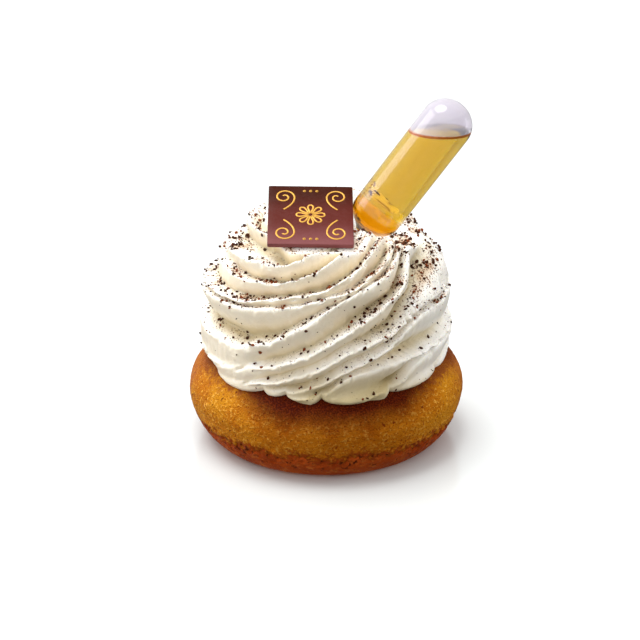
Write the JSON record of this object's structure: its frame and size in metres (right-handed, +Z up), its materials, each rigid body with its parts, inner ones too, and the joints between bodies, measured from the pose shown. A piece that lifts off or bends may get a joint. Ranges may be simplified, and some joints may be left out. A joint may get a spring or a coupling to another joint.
{
  "type": "rum baba",
  "caption": "Round soaked yeast cake under a piped swirl of whipped cream with grated chocolate, a square chocolate plaque and a clear pipette of rum.",
  "frame": {"origin": "centre of the flat foot of the cake, on the surface that it stands on", "axes": "+Z up, -Y towards the side that the plaque faces, +X towards the side that the pipette leans to"},
  "size_m": [0.07, 0.07, 0.0875],
  "materials": {
    "crumb": "baked golden crumb, moist, red-brown on the sole",
    "cream": "soft satin whipped cream with dark specks",
    "chocolate": "tempered dark chocolate, glossy",
    "clear_plastic": "clear glossy",
    "rum": "clear amber liquid"
  },
  "bodies": {
    "root": {"baba": "crumb", "cream": "cream", "plaque": "chocolate", "pipette": "clear_plastic", "rum": "rum"}
  },
  "joints": []
}
